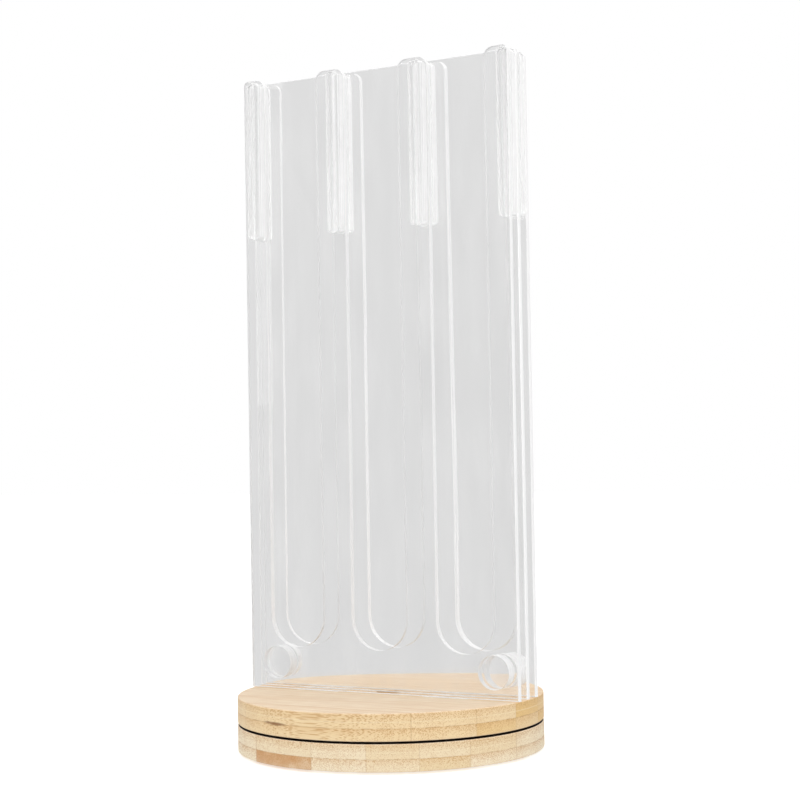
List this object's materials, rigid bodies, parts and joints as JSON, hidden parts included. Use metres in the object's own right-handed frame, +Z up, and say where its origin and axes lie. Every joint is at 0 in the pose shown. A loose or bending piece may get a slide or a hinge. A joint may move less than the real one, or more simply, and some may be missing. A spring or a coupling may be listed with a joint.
{
  "type": "chip rack",
  "caption": "Upright two-sided rack of clear acrylic plates with open-topped round-ended slots, turning on a base of round bamboo discs.",
  "frame": {"origin": "on the turntable's axis, at the height of the surface that the feet stand on", "axes": "+Z up along the turntable's axis; X along the acrylic plates; the front comb faces -Y at rest"},
  "size_m": [0.15, 0.15, 0.3366],
  "materials": {
    "clear_acrylic": "clear cast sheet, glossy faces, laser-cut edges",
    "bamboo": "laminated bamboo board, sanded and clear-oiled",
    "race_steel": "turned and zinc plated",
    "zinc_steel": "bright zinc plated",
    "ball_steel": "polished chrome steel",
    "cage_nylon": "moulded natural nylon",
    "bush_nylon": "moulded natural nylon",
    "pivot_brass": "yellow passivated, turned",
    "foot_rubber": "moulded matt black"
  },
  "bodies": {
    "base": {"lower_disc": "bamboo", "lower_race": "race_steel", "lower_race_screws": "zinc_steel", "pivot_bolt": "pivot_brass", "shoulder_washer": "zinc_steel", "nut_washer": "zinc_steel", "pivot_nut": "zinc_steel", "foot_1": "foot_rubber", "foot_2": "foot_rubber", "foot_3": "foot_rubber", "foot_4": "foot_rubber"},
    "ball_ring": {"ball_cage": "cage_nylon", "bearing_balls": "ball_steel"},
    "rack": {"upper_disc": "bamboo", "upper_race": "race_steel", "upper_race_screws": "zinc_steel", "pivot_bush": "bush_nylon", "centre_panel": "clear_acrylic", "front_comb": "clear_acrylic", "rear_comb": "clear_acrylic", "front_strip_1": "clear_acrylic", "front_strip_2": "clear_acrylic", "front_strip_3": "clear_acrylic", "front_strip_4": "clear_acrylic", "front_round_left": "clear_acrylic", "front_round_right": "clear_acrylic", "rear_strip_1": "clear_acrylic", "rear_strip_2": "clear_acrylic", "rear_strip_3": "clear_acrylic", "rear_strip_4": "clear_acrylic", "rear_round_left": "clear_acrylic", "rear_round_right": "clear_acrylic"}
  },
  "joints": [
    {"name": "turntable_spin", "type": "hinge", "parent": "base", "child": "rack", "pos_m": [0, 0, 0.0144], "axis": [0, 0, 1], "continuous": true},
    {"name": "ball_ring_spin", "type": "hinge", "parent": "base", "child": "ball_ring", "pos_m": [0, 0, 0.0144], "axis": [0, 0, 1], "continuous": true}
  ],
  "couplings": [
    {"joint": "ball_ring_spin", "follows": "turntable_spin", "ratio": 0.5}
  ]
}
